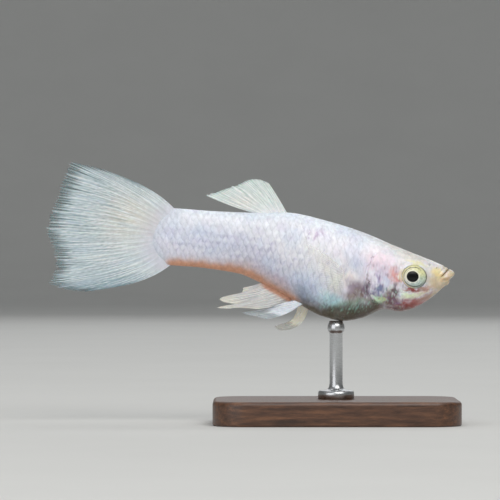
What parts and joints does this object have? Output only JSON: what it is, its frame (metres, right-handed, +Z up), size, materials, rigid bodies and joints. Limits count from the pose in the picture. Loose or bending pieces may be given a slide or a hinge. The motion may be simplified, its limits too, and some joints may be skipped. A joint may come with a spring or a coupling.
{
  "type": "fancy guppy",
  "caption": "Life-size still model of a white female fancy guppy swimming with her head slightly down, on a flat wooden base with a steel rod.",
  "frame": {"origin": "middle of the stand base's underside, on the floor", "axes": "+X towards the fish's head, +Y to the fish's left, +Z up"},
  "size_m": [0.0506, 0.019, 0.0318],
  "materials": {
    "skin": "pearl white scales with a wet sheen",
    "gill_cover": "pinkish mother of pearl",
    "eye": "silver iris under a clear glossy lens, black pupil",
    "fin": "milky translucent membrane with fine white rays",
    "base_wood": "satin dark walnut",
    "rod_steel": "brushed"
  },
  "bodies": {
    "root": {"head": "skin", "torso": "skin", "tail_stalk": "skin", "gill_cover_right": "gill_cover", "gill_cover_left": "gill_cover", "eye_right": "eye", "eye_left": "eye", "dorsal_fin": "fin", "anal_fin": "fin", "tail_fin": "fin", "pelvic_fin_right": "fin", "pelvic_fin_left": "fin", "pectoral_fin_right": "fin", "pectoral_fin_left": "fin", "stand_base": "base_wood", "stand_rod": "rod_steel"}
  },
  "joints": []
}
